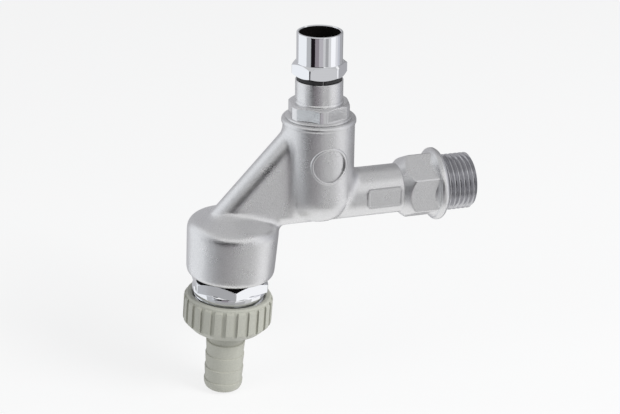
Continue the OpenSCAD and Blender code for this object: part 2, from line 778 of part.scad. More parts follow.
module check_spring() {
    color(spring_steel) on_outlet()
        coil(spring_d / 2, spring_wire_d, spring_turns, spring_bottom + 0.02, poppet_bottom - 0.02);
}

module vent_diaphragm() {
    color(black_rubber) on_outlet()
        ring(vent_bore_d / 2 - drop_gap, diaphragm_hole_d / 2, diaphragm_bottom, check_bottom);
}

module vent_insert() {
    r = vent_bore_d / 2 - drop_gap;
    waist = insert_waist_d / 2;
    color(natural_plastic) on_outlet() difference() {
        rotate_extrude() polygon([[insert_bore_d / 2, insert_bottom], [r, insert_bottom], [r, insert_bottom + 1.6],
            [waist, insert_bottom + 3], [waist, diaphragm_bottom - 1.4], [r, diaphragm_bottom - 1.4],
            [r, diaphragm_bottom], [insert_bore_d / 2, diaphragm_bottom]]);
        for (i = [0:air_holes - 1]) rotate([0, 0, 360 * i / air_holes])
            translate([(r + waist) / 2, 0, diaphragm_bottom - 2]) cylinder(r = (r - waist) * 0.35, h = 3);
    }
}

module vent_body() {
    top_r = cup_thread_d / 2 - thread_gap;
    groove_r = top_r - air_groove;
    groove_top = vent_hex_top + air_hole_d + 0.6;
    collar_r = vent_collar_d / 2;
    male_r = hose_thread_r - running_gap;
    color(bright_chrome) on_outlet() difference() {
        union() {
            rotate_extrude() polygon(concat(
                [[0, vent_top], [top_r, vent_top], [top_r, groove_top], [groove_r, groove_top],
                 [groove_r, vent_hex_bottom + 1], [collar_r - 0.3, vent_hex_bottom],
                 [collar_r, vent_hex_bottom - 0.4], [collar_r, vent_collar_bottom + 1.2],
                 [collar_r - 0.6, vent_collar_bottom + 0.8], [collar_r - 0.6, vent_collar_bottom]],
                [for (p = thread_points(male_r, 0.6, hose_thread_l)) [p[0], vent_collar_bottom - p[1]]]));
            nut_form(vent_hex_af, vent_hex_bottom, vent_hex_top, vent_turn, vent_hex_af / sqrt(3) * 2 - 0.3, 0, 1);
        }
        bar(vent_bore_d / 2, insert_bottom, vent_top + 1);
        bar(vent_ledge_d / 2, vent_bottom - 1, insert_bottom + 1);
        for (i = [0:air_holes - 1]) rotate([0, 0, 360 * i / air_holes])
            translate([vent_bore_d / 2 - 1, 0, vent_hex_top + 0.3 + air_hole_d / 2]) rotate([0, 90, 0])
                cylinder(r = air_hole_d / 2, h = top_r - vent_bore_d / 2 + 2, $fn = 24);
    }
}

module hose_gasket() {
    color(black_rubber) on_outlet() ring(hose_flange_r, vent_ledge_d / 2 - 1, flange_top, gasket_top);
}

module hose_tail() {
    r = tail_d / 2;
    journal_r = tail_journal_d / 2;
    color(union_plastic) on_outlet() difference() {
        rotate_extrude() polygon(concat(
            [[0, flange_top], [hose_flange_r, flange_top], [hose_flange_r, flange_bottom],
             [journal_r, flange_bottom], [journal_r, nut_bottom], [tail_neck_d / 2, nut_bottom - 0.6],
             [tail_neck_d / 2, neck_bottom]],
            [for (i = [0:barbs - 1]) let (z = neck_bottom - i * barb_l) each
                [[r, z], [r, z - barb_land], [r - barb_step, z - barb_l]]],
            [[r, barbs_bottom], [r, barbs_bottom - barb_land]],
            [for (a = [15:15:75]) [tail_tip_d / 2 + (r - tail_tip_d / 2) * cos(a),
                                   barbs_bottom - barb_land - (tail_tip_l - barb_land) * sin(a)]],
            [[tail_tip_d / 2, tail_bottom], [0, tail_bottom]]));
        bar(tail_bore_d / 2, tail_bottom - 1, flange_top + 1);
    }
}

module coupling_nut() {
    rib_r = nut_d / 2;
    core_r = rib_r - rib_depth;
    foot = nut_bottom + rib_foot;
    head = nut_top - rib_head;
    base_r = nut_base_d / 2;
    core_foot = nut_bottom + rib_foot * (core_r - base_r) / (rib_r - base_r);
    color(union_plastic) on_outlet() difference() {
        union() {
            rotate_extrude() polygon(concat([[0, nut_bottom], [base_r, nut_bottom], [core_r, core_foot]],
                arc(core_r - 0.7, nut_top - 0.7, 0.7, 0, 90, 3), [[0, nut_top]]));
            intersection() {
                rotate_extrude() polygon([[0, nut_bottom], [base_r, nut_bottom], [rib_r, foot],
                                          [rib_r, head - 0.7], [rib_r - 0.7, head], [0, head]]);
                translate([0, 0, nut_bottom]) linear_extrude(height = nut_depth + nut_floor_t) difference() {
                    circle(r = rib_r + 1);
                    for (i = [0:nut_ribs - 1]) rotate(nut_turn + 360 * i / nut_ribs)
                        translate([core_r - 0.1, -groove_w / 2]) square([rib_depth + 2, groove_w]);
                }
            }
        }
        bar(hose_thread_r, nut_floor, nut_top + 1);
        bar(tail_journal_d / 2 + running_gap, nut_bottom - 1, nut_floor + 1);
        translate([0, 0, nut_top - 0.6]) cylinder(r1 = hose_thread_r, r2 = hose_thread_r + 0.7, h = 0.61);
    }
}

body();
bonnet();
bonnet_seal();
key_sleeve();
neck_ring();
spindle();
spindle_seal_lower();
spindle_seal_upper();
spindle_clip();
slip_washer();
valve_carrier();
valve_washer();
washer_screw();
check_gasket();
check_housing();
check_guide();
check_poppet();
poppet_seal();
check_spring();
vent_diaphragm();
vent_insert();
vent_body();
hose_gasket();
hose_tail();
coupling_nut();
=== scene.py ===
import math

import bmesh
import bpy
from mathutils import Matrix, Vector


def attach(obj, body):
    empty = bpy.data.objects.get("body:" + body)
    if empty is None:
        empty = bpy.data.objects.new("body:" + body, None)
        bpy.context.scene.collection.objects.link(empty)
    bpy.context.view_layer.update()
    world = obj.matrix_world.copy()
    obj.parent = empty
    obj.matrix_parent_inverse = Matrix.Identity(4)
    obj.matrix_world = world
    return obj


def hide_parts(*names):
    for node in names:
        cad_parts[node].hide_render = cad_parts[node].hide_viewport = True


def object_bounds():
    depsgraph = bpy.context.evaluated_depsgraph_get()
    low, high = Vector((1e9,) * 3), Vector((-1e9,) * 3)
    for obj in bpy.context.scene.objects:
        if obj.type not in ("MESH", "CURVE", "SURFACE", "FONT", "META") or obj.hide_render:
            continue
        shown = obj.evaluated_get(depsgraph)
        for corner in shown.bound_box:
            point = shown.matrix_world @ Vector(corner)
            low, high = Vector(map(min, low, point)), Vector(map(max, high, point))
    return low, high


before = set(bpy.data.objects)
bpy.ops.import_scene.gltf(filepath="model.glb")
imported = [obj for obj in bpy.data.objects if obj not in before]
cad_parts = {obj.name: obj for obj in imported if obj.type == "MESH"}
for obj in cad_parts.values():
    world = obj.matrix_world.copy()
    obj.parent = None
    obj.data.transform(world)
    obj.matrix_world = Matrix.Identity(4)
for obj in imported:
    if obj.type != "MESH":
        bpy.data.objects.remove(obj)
cadBox = [list(corner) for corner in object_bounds()]
print("frame loaded")

mm = 0.001
barrelY = -46.6  # from the wall side of the collar out to the barrel's axis
outletY = -77.9  # where the outlet's axis meets the level of the inlet
outletTilt = -4.2  # degrees that the outlet leans away from the wall

barrelAxis = Matrix.Translation((0, barrelY * mm, 0))
outletAxis = Matrix.Translation((0, outletY * mm, 0)) @ Matrix.Rotation(math.radians(outletTilt), 4, "X")
inletAxis = Matrix.Rotation(math.radians(-90), 4, "X")

pipePitch = 1.814
pipeDepth = 1.1


# mesh helpers: every form starts in a bmesh, sizes in millimetres

def turnedForm(points, steps=128, closed=False):
    # an outline of (radius, height) turned about Z
    form = bmesh.new()
    verts = [form.verts.new((r * mm, 0, z * mm)) for r, z in points]
    edges = [form.edges.new(pair) for pair in zip(verts, verts[1:])]
    if closed:
        edges.append(form.edges.new((verts[-1], verts[0])))
    bmesh.ops.spin(form, geom=verts + edges, cent=(0, 0, 0), axis=(0, 0, 1), dvec=(0, 0, 0), angle=2 * math.pi,
                   steps=steps, use_merge=True, use_normal_flip=False, use_duplicate=False)
    bmesh.ops.remove_doubles(form, verts=form.verts, dist=0.002 * mm)
    bmesh.ops.recalc_face_normals(form, faces=form.faces)
    return form


def barForm(radius, fromZ, toZ, sides=128):
    form = bmesh.new()
    place = Matrix.Translation((0, 0, (fromZ + toZ) / 2 * mm))
    bmesh.ops.create_cone(form, cap_ends=True, segments=sides, radius1=radius * mm, radius2=radius * mm,
                          depth=(toZ - fromZ) * mm, matrix=place)
    return form


def blockForm(low, high):
    form = bmesh.new()
    size = [(b - a) * mm for a, b in zip(low, high)]
    middle = [(a + b) / 2 * mm for a, b in zip(low, high)]
    bmesh.ops.create_cube(form, size=1, matrix=Matrix.Translation(middle) @ Matrix.Diagonal((*size, 1)))
    return form


def turnForm(form, degrees, axis="Z"):
    turn = Matrix.Rotation(math.radians(degrees), 3, axis)
    bmesh.ops.rotate(form, cent=(0, 0, 0), matrix=turn, verts=form.verts)
    return form


def hexBar(flats, fromZ, toZ, turn):
    # the first corner of a cone with six sides points along +Y, so it is turned back to +X
    return turnForm(barForm(flats / math.sqrt(3), fromZ, toZ, 6), turn - 90)


def arc(x, y, radius, start, end, steps=8):
    turns = [math.radians(start + (end - start) * i / steps) for i in range(steps + 1)]
    return [(x + radius * math.cos(t), y + radius * math.sin(t)) for t in turns]


def movedVerts(grown):
    return [part for part in grown["geom"] if isinstance(part, bmesh.types.BMVert)]


def toPiece(form, name, place=None):
    if place is not None:
        bmesh.ops.transform(form, matrix=place, verts=form.verts)
    mesh = bpy.data.meshes.new(name)
    form.to_mesh(mesh)
    form.free()
    piece = bpy.data.objects.new(name, mesh)
    bpy.context.scene.collection.objects.link(piece)
    return piece


def settle(piece):
    # the modifiers' result becomes the mesh itself
    bpy.context.view_layer.update()
    shown = piece.evaluated_get(bpy.context.evaluated_depsgraph_get())
    mesh = bpy.data.meshes.new_from_object(shown)
    piece.modifiers.clear()
    old = piece.data
    piece.data = mesh
    bpy.data.meshes.remove(old)
    mesh.name = piece.name
    return piece


def combine(piece, tool, how):
    step = piece.modifiers.new(how.lower(), "BOOLEAN")
    step.operation = how
    step.solver = "MANIFOLD"
    step.object = tool
    settle(piece)
    bpy.data.objects.remove(tool)
    return piece


def cutOut(piece, *tools):
    for tool in tools:
        combine(piece, tool, "DIFFERENCE")
    return piece


def softenEdges(piece, width, angle=30, segments=3):
    bevel = piece.modifiers.new("soft edges", "BEVEL")
    bevel.width = width * mm
    bevel.segments = segments
    bevel.limit_method = "ANGLE"
    bevel.angle_limit = math.radians(angle)
    bevel.use_clamp_overlap = True
    return settle(piece)


def smoothShading(piece, angle, straight):
    form = bmesh.new()
    form.from_mesh(piece.data)
    bmesh.ops.dissolve_degenerate(form, dist=0.0005 * mm, edges=form.edges)
    for face in form.faces:
        face.smooth = True
    for edge in form.edges:
        edge.smooth = len(edge.link_faces) == 2 and edge.calc_face_angle(0) < math.radians(angle)
    form.to_mesh(piece.data)
    form.free()
    if straight:
        # the normals follow the large faces, so that a long wall reflects as straight as it is
        piece.modifiers.new("straight walls", "WEIGHTED_NORMAL").keep_sharp = True
        settle(piece)
    return piece


def hexForm(flats, fromZ, toZ, turn, corner, low, high, name):
    # a hexagon whose corners are turned off to a cone, at the lower end (low=1) and the upper end (high=1)
    coneSlope = 32
    flatShare = 0.25
    skin = 0.02
    piece = toPiece(hexBar(flats, fromZ, toZ, turn), name)
    r = corner / 2
    drop = r - (flats / 2 - flatShare)
    rise = drop * math.tan(math.radians(coneSlope))
    bottom = fromZ - skin
    top = toZ + skin
    turned = turnedForm([(0, bottom), (r - low * drop, bottom), (r, bottom + low * rise),
                         (r, top - high * rise), (r - high * drop, top), (0, top)])
    return combine(piece, toPiece(turned, "corner cone"), "INTERSECT")


def threadForm(crest, fromZ, toZ, steps=72):
    # one tooth's outline wound up along Z, then cut level at both ends
    form = bmesh.new()
    start = fromZ - 2.5 * pipePitch
    flank = crest - pipeDepth * 0.9
    root = crest - pipeDepth
    tooth = [(crest, 0), (flank, 0.34), (root, 0.42), (flank, 0.5), (crest, 0.84), (crest, 1)]
    verts = [form.verts.new((r * mm, 0, (start + share * pipePitch) * mm)) for r, share in tooth]
    edges = [form.edges.new(pair) for pair in zip(verts, verts[1:])]
    turns = math.ceil((toZ - fromZ) / pipePitch + 4.5)
    bmesh.ops.spin(form, geom=verts + edges, cent=(0, 0, 0), axis=(0, 0, 1), dvec=(0, 0, pipePitch / steps * mm),
                   angle=2 * math.pi * turns, steps=steps * turns, use_merge=False, use_normal_flip=False,
                   use_duplicate=False)
    bmesh.ops.remove_doubles(form, verts=form.verts, dist=0.01 * mm)
    for height, side in ((fromZ, -1), (toZ, 1)):
        bmesh.ops.bisect_plane(form, geom=form.verts[:] + form.edges[:] + form.faces[:], dist=0.0001 * mm,
                               plane_co=(0, 0, height * mm), plane_no=(0, 0, side), clear_outer=True)
    rims = [edge for edge in form.edges if edge.is_boundary]
    bmesh.ops.holes_fill(form, edges=rims, sides=0)
    bmesh.ops.recalc_face_normals(form, faces=form.faces)
    return form


# shared effects as node groups

def effectGroup(name, inputs, outputs):
    group = bpy.data.node_groups.new(name, "ShaderNodeTree")
    for label, value in inputs.items():
        socket = group.interface.new_socket(label, in_out="INPUT", socket_type="NodeSocketFloat")
        socket.default_value = value
    for label in outputs:
        group.interface.new_socket(label, in_out="OUTPUT", socket_type="NodeSocketFloat")
    return group, group.nodes.new("NodeGroupInput"), group.nodes.new("NodeGroupOutput")


def addNode(tree, kind, **values):
    # a value goes to the node's property of that name, or else to its input
    node = tree.nodes.new(kind)
    for key, value in values.items():
        if hasattr(node, key):
            setattr(node, key, value)
        else:
            node.inputs[key.replace("_", " ")].default_value = value
    return node


def grainEffect():
    # blasted or moulded skin: fine pits for the bump, and slow patches for tone and roughness
    inputs = {"Scale": 2600, "Patch Scale": 160}
    group, given, result = effectGroup("skin grain", inputs, ["Height", "Tone", "Patch"])
    link = group.links.new
    coords = group.nodes.new("ShaderNodeTexCoord")
    fine = addNode(group, "ShaderNodeTexNoise", Detail=2.0, Roughness=0.6)
    patch = addNode(group, "ShaderNodeTexNoise", Detail=3.0, Roughness=0.55)
    pits = addNode(group, "ShaderNodeTexVoronoi", feature="SMOOTH_F1")
    mixed = addNode(group, "ShaderNodeMath", operation="MULTIPLY_ADD")
    mixed.inputs[1].default_value = 0.6  # how much the pits count beside the noise
    for texture, scale in ((fine, "Scale"), (patch, "Patch Scale"), (pits, "Scale")):
        link(coords.outputs["Object"], texture.inputs["Vector"])
        link(given.outputs[scale], texture.inputs["Scale"])
    link(pits.outputs["Distance"], mixed.inputs[0])
    link(fine.outputs["Fac"], mixed.inputs[2])
    link(mixed.outputs[0], result.inputs["Height"])
    link(fine.outputs["Fac"], result.inputs["Tone"])
    link(patch.outputs["Fac"], result.inputs["Patch"])
    return group


def latheEffect():
    # fine marks that run round an axis: the pattern changes along it only
    group, given, result = effectGroup("lathe marks", {"Scale": 5000, "Along Y": 0.0}, ["Height"])
    link = group.links.new
    coords = group.nodes.new("ShaderNodeTexCoord")
    parts = group.nodes.new("ShaderNodeSeparateXYZ")
    pick = addNode(group, "ShaderNodeMix", data_type="FLOAT")
    lines = addNode(group, "ShaderNodeTexNoise", noise_dimensions="1D", Detail=2.0, Roughness=0.7)
    link(coords.outputs["Object"], parts.inputs[0])
    link(given.outputs["Along Y"], pick.inputs[0])
    link(parts.outputs["Z"], pick.inputs[2])
    link(parts.outputs["Y"], pick.inputs[3])
    link(pick.outputs[0], lines.inputs["W"])
    link(given.outputs["Scale"], lines.inputs["Scale"])
    link(lines.outputs["Fac"], result.inputs["Height"])
    return group


grain = grainEffect()
latheMarks = latheEffect()
noiseLow = 0.3  # the noise stays between these two almost everywhere
noiseHigh = 0.7


def newMaterial(name, **values):
    material = bpy.data.materials.new(name)
    material.use_nodes = True
    tree = material.node_tree
    shader = tree.nodes["Principled BSDF"]
    for label, value in values.items():
        shader.inputs[label.replace("_", " ")].default_value = value
    return material, tree, shader


def effectNode(tree, group, **values):
    node = tree.nodes.new("ShaderNodeGroup")
    node.node_tree = group
    for label, value in values.items():
        node.inputs[label.replace("_", " ")].default_value = value
    return node


def ranged(tree, source, low, high, target):
    node = addNode(tree, "ShaderNodeMapRange")
    for slot, value in zip((1, 2, 3, 4), (noiseLow, noiseHigh, low, high)):
        node.inputs[slot].default_value = value
    tree.links.new(source, node.inputs[0])
    tree.links.new(node.outputs[0], target)


def toned(tree, source, dark, light, target):
    ramp = tree.nodes.new("ShaderNodeValToRGB")
    for stop, place, colour in zip(ramp.color_ramp.elements, (noiseLow, noiseHigh), (dark, light)):
        stop.position = place
        stop.color = (*colour, 1)
    tree.links.new(source, ramp.inputs[0])
    tree.links.new(ramp.outputs[0], target)


def bumped(tree, shader, source, depth):
    bump = addNode(tree, "ShaderNodeBump", Strength=1.0, Distance=depth * mm)
    tree.links.new(source, bump.inputs["Height"])
    tree.links.new(bump.outputs[0], shader.inputs["Normal"])


def grainMaterial(name, dark, light, rough, depth, scale, patchScale=160, **values):
    material, tree, shader = newMaterial(name, **values)
    skin = effectNode(tree, grain, Scale=scale, Patch_Scale=patchScale)
    toned(tree, skin.outputs["Tone"], dark, light, shader.inputs["Base Color"])
    ranged(tree, skin.outputs["Patch"], rough[0], rough[1], shader.inputs["Roughness"])
    bumped(tree, shader, skin.outputs["Height"], depth)
    return material


def turnedMaterial(name, dark, light, rough, depth, scale=5000, alongY=0.0, **values):
    material, tree, shader = newMaterial(name, **values)
    marks = effectNode(tree, latheMarks, Scale=scale, Along_Y=alongY)
    toned(tree, marks.outputs["Height"], dark, light, shader.inputs["Base Color"])
    ranged(tree, marks.outputs["Height"], rough[0], rough[1], shader.inputs["Roughness"])
    bumped(tree, shader, marks.outputs["Height"], depth)
    return material


# darkest and lightest colour, range of roughness, depth of the grain in millimetres, its scale
finishes = {
    "castChrome": grainMaterial("satin cast chrome", (0.64, 0.64, 0.645), (0.78, 0.78, 0.785), (0.25, 0.35),
                                0.06, 2800, Metallic=1.0),
    "headChrome": grainMaterial("satin head chrome", (0.66, 0.66, 0.665), (0.78, 0.78, 0.785), (0.22, 0.32),
                                0.026, 3400, Metallic=1.0),
    "facetChrome": grainMaterial("facet chrome", (0.66, 0.66, 0.665), (0.78, 0.78, 0.785), (0.08, 0.13),
                                 0.006, 3400, Metallic=1.0),
    "mirrorChrome": turnedMaterial("polished chrome", (0.82, 0.83, 0.85), (0.86, 0.87, 0.89), (0.03, 0.07),
                                   0.0006, Metallic=1.0),
    # the thread's darker colour is painted shade for its grooves
    "shadedThreadChrome": turnedMaterial("threaded chrome painted shade", (0.4, 0.4, 0.42), (0.62, 0.62, 0.64), (0.16, 0.26),
                                   0.004, scale=3000, alongY=1.0, Metallic=1.0),
    # near-black painted shade for the hollows, the sleeve's bore and the gap under the cup
    "boreShade": grainMaterial("painted shade bore", (0.002, 0.002, 0.002), (0.006, 0.005, 0.005), (0.6, 0.8),
                               0.02, 1500, Specular_IOR_Level=0.12),
    "brass": turnedMaterial("turned brass", (0.66, 0.48, 0.2), (0.8, 0.61, 0.28), (0.18, 0.3),
                            0.003, Metallic=1.0),
    "rubber": grainMaterial("black rubber", (0.012, 0.012, 0.013), (0.025, 0.025, 0.026), (0.5, 0.65),
                            0.012, 2200),
    "springSteel": grainMaterial("spring steel", (0.5, 0.51, 0.53), (0.62, 0.63, 0.65), (0.18, 0.3),
                                 0.003, 4000, Metallic=1.0),
    "naturalPlastic": grainMaterial("natural plastic", (0.78, 0.75, 0.67), (0.86, 0.83, 0.76), (0.35, 0.45),
                                    0.006, 1400),
    "unionPlastic": grainMaterial("grey union plastic", (0.455, 0.455, 0.398), (0.51, 0.51, 0.448),
                                  (0.4, 0.54), 0.008, 1800, patchScale=90),
}
print("materials ready")


def finishPiece(piece, finish, body, replaced=None, angle=32, straight=True):
    smoothShading(piece, angle, straight)
    piece.data.materials.clear()
    piece.data.materials.append(finishes[finish])
    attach(piece, body)
    if replaced:
        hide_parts(replaced)
    return piece


def refinish(piece, finish, isPart):
    # a second finish on the faces that isPart names
    piece.data.materials.append(finishes[finish])
    for face in piece.data.polygons:
        if isPart(face):
            face.material_index = 1
    return piece


# the casting: rough forms melted together, then its water ways cut

casting = {
    "voxel": 0.45,
    "lightPasses": 8,
    "blendPasses": 110,
    "endPasses": 5,
    "barrelRadius": 13.0,
    "barrelBottom": -8.4,
    "barrelTop": 30.6,
    "domeRadius": 11.0,
    "armRadius": 5.7,
    "ridgeHeight": 32.4,
    "ridgeSlope": 46.9,
    "ridgeStart": 8,
    "ridgeReach": 36.9,
    "underside": -9.4,
    "undersideReach": 29.9,
    "webInset": 0.1,
    "cupBottom": -26.4,
    "cupFootRadius": 16.15,
    "cupFootRound": 1.9,
    "cupTopRadius": 16.7,
    "cupShoulderHeight": -9.2,
    "cupShoulderRound": 4.0,
    "cupShoulderTurn": 62,
    "cupCrown": 0.2,
    "tubeRadius": 9.1,
    "tubeStart": -12.5,
}

ways = {
    "inletRadius": 6.5,
    "inletReach": -50.5,
    "inletMouth": 14,
    "inletShade": -36,
    "seatHole": 5,
    "seatRadius": 6,
    "seatTop": 10,
    "chamberFloor": 9.2,
    "chamberRadius": 9.3,
    "chamberTop": 19.8,
    "headRadius": 10.53,
    "headTop": 28.3,
    "mouthRadius": 11.03,
    "mouthTop": 33,
    "armRadius": 3.5,
    "armReach": 29.3,
    "armSlope": 44,
    "armHeights": (23, 18),
    "cupMouth": -30,
    "cupRadius": 13.05,
    "cupShoulder": -15.5,
    "cupInnerRadius": 10.9,
    "cupTop": -6.5,
}


def alongArm(height, slope):
    # from the barrel's axis out over the cup, down by the slope in radians
    start = Matrix.Translation((0, barrelY * mm, height * mm))
    return start @ Matrix.Rotation(math.pi / 2 + slope, 4, "X")


def barrelShape():
    c = casting
    r = c["barrelRadius"]
    dome = c["domeRadius"]
    foot = arc(r - dome, c["barrelBottom"] + dome, dome, -90, 0, 16)
    return turnedForm([(0, c["barrelBottom"])] + foot + [(r, c["barrelTop"]), (0, c["barrelTop"])])


def webShape():
    # the thin wall between the ridge and the underside, as a plate across the middle
    c = casting
    side = c["armRadius"] - c["webInset"]
    low = c["underside"] + c["armRadius"]
    slope = math.radians(c["ridgeSlope"])
    top = c["ridgeHeight"] - c["ridgeStart"] * math.tan(slope)
    reach = barrelY - c["ridgeHeight"] / math.tan(slope)
    outline = [(barrelY, low), (barrelY, top), (barrelY - c["ridgeStart"], top), (reach, 0), (reach, low)]
    web = bmesh.new()
    face = web.faces.new([web.verts.new((-side * mm, y * mm, z * mm)) for y, z in outline])
    grown = bmesh.ops.extrude_face_region(web, geom=[face])
    bmesh.ops.translate(web, vec=(2 * side * mm, 0, 0), verts=movedVerts(grown))
    bmesh.ops.recalc_face_normals(web, faces=web.faces)
    return web


def cupShape():
    c = casting
    foot = c["cupFootRound"]
    shoulder = c["cupShoulderRound"]
    outline = [(0, c["cupBottom"])] + arc(c["cupFootRadius"] - foot, c["cupBottom"] + foot, foot, -90, 0, 6)
    outline += arc(c["cupTopRadius"] - shoulder, c["cupShoulderHeight"], shoulder, 0, c["cupShoulderTurn"], 8)
    return turnedForm(outline + [(0, c["cupCrown"])])


def castingForms():
    c = casting
    slope = math.radians(c["ridgeSlope"])
    ridge = barForm(c["armRadius"], c["ridgeStart"] / math.cos(slope), c["ridgeReach"] / math.cos(slope))
    under = barForm(c["armRadius"], 0, c["undersideReach"])
    tube = barForm(c["tubeRadius"], barrelY, c["tubeStart"])
    return [
        toPiece(barrelShape(), "barrel form", barrelAxis),
        toPiece(ridge, "ridge form", alongArm(c["ridgeHeight"], slope)),
        toPiece(under, "underside form", alongArm(c["underside"] + c["armRadius"], 0)),
        toPiece(webShape(), "web form"),
        toPiece(cupShape(), "cup form", outletAxis),
        toPiece(tube, "tube form", inletAxis),
    ]


def meltTogether(forms, name):
    melt = bmesh.new()
    for piece in forms:
        melt.from_mesh(piece.data)
        bpy.data.objects.remove(piece)
    piece = toPiece(melt, name)
    remesh = piece.modifiers.new("melt", "REMESH")
    remesh.mode = "VOXEL"
    remesh.voxel_size = casting["voxel"] * mm
    return settle(piece)


def smoothSome(form, passes):
    for _ in range(passes):
        bmesh.ops.smooth_vert(form, verts=form.verts, factor=0.5, use_axis_x=True, use_axis_y=True, use_axis_z=True)


def blendCorners(piece):
    # heavy smoothing fills the inside corners as a casting's fillets do; where it would wear a form down it is undone
    form = bmesh.new()
    form.from_mesh(piece.data)
    smoothSome(form, casting["lightPasses"])
    form.normal_update()
    kept = [(vert.co.copy(), vert.normal.copy()) for vert in form.verts]
    smoothSome(form, casting["blendPasses"])
    for vert, (place, normal) in zip(form.verts, kept):
        lift = (vert.co - place).dot(normal)
        vert.co = place + normal * max(lift, 0)
    smoothSome(form, casting["endPasses"])
    form.to_mesh(piece.data)
    form.free()
    return piece


def inletWay(fromZ):
    return toPiece(barForm(ways["inletRadius"], fromZ, ways["inletMouth"]), "inlet way", inletAxis)


def barrelWay():
    w = ways
    head = w["headRadius"]
    outline = [(0, 0), (w["seatHole"], 0), (w["seatHole"], w["seatTop"]), (w["seatRadius"], w["seatTop"]),
               (w["seatRadius"], w["chamberFloor"]), (w["chamberRadius"], w["chamberFloor"]),
               (w["chamberRadius"], w["chamberTop"]), (head, w["chamberTop"]), (head, w["headTop"]),
               (w["mouthRadius"], w["headTop"]), (w["mouthRadius"], w["mouthTop"]), (0, w["mouthTop"])]
    return toPiece(turnedForm(outline), "barrel way", barrelAxis)


def armWay(height):
    slope = math.radians(ways["armSlope"])
    way = barForm(ways["armRadius"], 0, ways["armReach"] / math.cos(slope), 48)
    return toPiece(way, "arm way", alongArm(height, slope))


def cupWay():
    w = ways
    outline = [(0, w["cupMouth"]), (w["cupRadius"], w["cupMouth"]),
               (w["cupRadius"], w["cupShoulder"]), (w["cupInnerRadius"], w["cupShoulder"]),
               (w["cupInnerRadius"], w["cupTop"]), (0, w["cupTop"])]
    return toPiece(turnedForm(outline), "cup way", outletAxis)


badge = {
    "radius": 6.5,
    "bead": 0.55,
    "height": 16.4,
    "shift": 0.5,
    "fieldRadius": 6.3,
    "fieldDepth": 0.5,
}
badgeMiddle = Matrix.Translation((0, (barrelY + badge["shift"]) * mm, badge["height"] * mm))


def badgeField():
    # a shallow round field in the barrel's side, left bare
    disc = barForm(badge["fieldRadius"], 5, 20)
    field = toPiece(disc, "badge field", badgeMiddle @ Matrix.Rotation(math.pi / 2, 4, "Y"))
    core = barForm(casting["barrelRadius"] - badge["fieldDepth"], 0, 30)
    return combine(field, toPiece(core, "barrel core", barrelAxis), "DIFFERENCE")


def isPaintedShade(face):
    # painted shade: the walls of the water ways, and the cup's underside round the vacuum breaker, made near-black
    # for the shade in these hollows and in the gap
    w = ways
    intoOutlet = outletAxis.inverted()
    inCup = intoOutlet @ face.center
    inBarrel = face.center - barrelAxis.translation
    fromInlet = math.hypot(face.center.x, face.center.z)
    cup = inCup.xy.length < (w["cupRadius"] + 0.05) * mm and inCup.z < (w["cupTop"] + 0.2) * mm
    under = inCup.z < (casting["cupBottom"] + 0.2) * mm and (intoOutlet.to_3x3() @ face.normal).z < -0.8
    barrel = inBarrel.xy.length < (w["mouthRadius"] + 0.07) * mm and inBarrel.z > -0.1 * mm
    inlet = fromInlet < (w["inletRadius"] + 0.1) * mm and face.center.y > w["inletShade"] * mm
    return cup or under or barrel or inlet


def makeCasting():
    piece = blendCorners(meltTogether(castingForms(), "castBody"))
    armWays = [armWay(height) for height in ways["armHeights"]]
    cutOut(piece, inletWay(ways["inletReach"]), barrelWay(), *armWays, cupWay())
    cutOut(piece, badgeField())
    finishPiece(piece, "castChrome", "root", "body", 40, straight=False)
    # the water ways and the cup's underside get the near-black painted shade
    return refinish(piece, "boreShade", isPaintedShade)


makeCasting()
print("casting made")


# machined and raised details of the casting

castDetails = {
    "rimRadius": 13.45,
    "rimBottom": 28.9,
    "rimTop": 31.2,
    "rimRound": 1.1,
    "padCentre": -23.6,
    "padLength": 13.6,
    "padBottom": -3.4,
    "padHeight": 7.4,
    "padRoot": 5,
    "padFace": 9.55,
    "padCorner": 1.3,
    "padFrame": 0.9,
    "padDepth": 0.32,
    "hexFlats": 21.6,
    "hexStart": -3.0,
    "hexEnd": -16.3,
    "hexChamfer": 4.1,
    "hexCorner": 12.5,
    "hexTurn": 30,
    "collarRadius": 13.5,
    "collarRound": 1.55,
    "collarBack": -5.4,
    "flareRadius": 10.35,
    "threadRadius": 10.4775,
    "threadRoot": 10.0,
    "threadEnd": 12.3,
}


def makeRim():
    d = castDetails
    r = d["rimRadius"]
    mouth = ways["mouthRadius"]
    low = d["rimBottom"]
    outline = [(mouth, low), (r - 0.55, low), (r - 0.45, low + 0.35), (r - 0.07, low + 0.55), (r, low + 0.7)]
    outline += arc(r - d["rimRound"], d["rimTop"] - d["rimRound"], d["rimRound"], 0, 90, 8)
    piece = toPiece(turnedForm(outline + [(mouth, d["rimTop"])], closed=True), "barrelRim", barrelAxis)
    return finishPiece(piece, "castChrome", "root")


def makeBadgeEdge():
    # a round bead laid on the barrel's curve: every point moves in by the curve's drop there
    outline = arc(badge["radius"], 0.05, badge["bead"], 0, 330, 11)
    bead = turnForm(turnedForm(outline, 96, closed=True), 90, "Y")
    barrel = casting["barrelRadius"] * mm
    sunk = 0.2 * mm
    for vert in bead.verts:
        vert.co.x += math.sqrt(barrel ** 2 - (vert.co.y + badge["shift"] * mm) ** 2) - sunk
    return finishPiece(toPiece(bead, "badgeEdge", badgeMiddle), "castChrome", "root")


